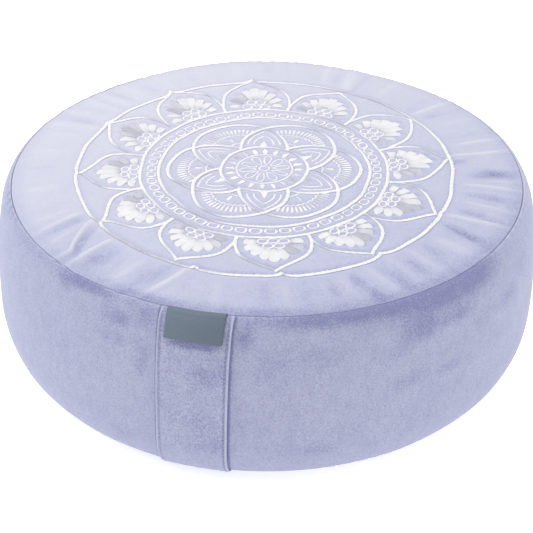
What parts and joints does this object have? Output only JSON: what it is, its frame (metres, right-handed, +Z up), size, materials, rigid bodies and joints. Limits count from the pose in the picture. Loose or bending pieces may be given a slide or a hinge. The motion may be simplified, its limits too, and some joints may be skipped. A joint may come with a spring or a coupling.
{
  "type": "zafu meditation cushion",
  "caption": "Round filled floor cushion for sitting: low-crowned embroidered top, bulging side band drawn in at its seams, flat carry handle and bare ribbon label.",
  "frame": {"origin": "on the floor, under the middle of the cushion", "axes": "+Z up along the cushion's axis; the carry handle and the label face -Y"},
  "size_m": [0.406, 0.4087, 0.1347],
  "materials": {
    "lilac_velvet": "short-pile velvet, pale lilac, with the nap brushed unevenly",
    "grey_satin": "woven satin ribbon, slate grey",
    "white_thread": "glossy white embroidery thread in satin stitch",
    "lilac_thread": "lilac sewing thread of the seams and topstitching"
  },
  "bodies": {
    "root": {"filled_body": "lilac_velvet", "top_panel": "lilac_velvet", "bottom_panel": "lilac_velvet", "carry_handle": "lilac_velvet", "label": "grey_satin"}
  },
  "joints": []
}
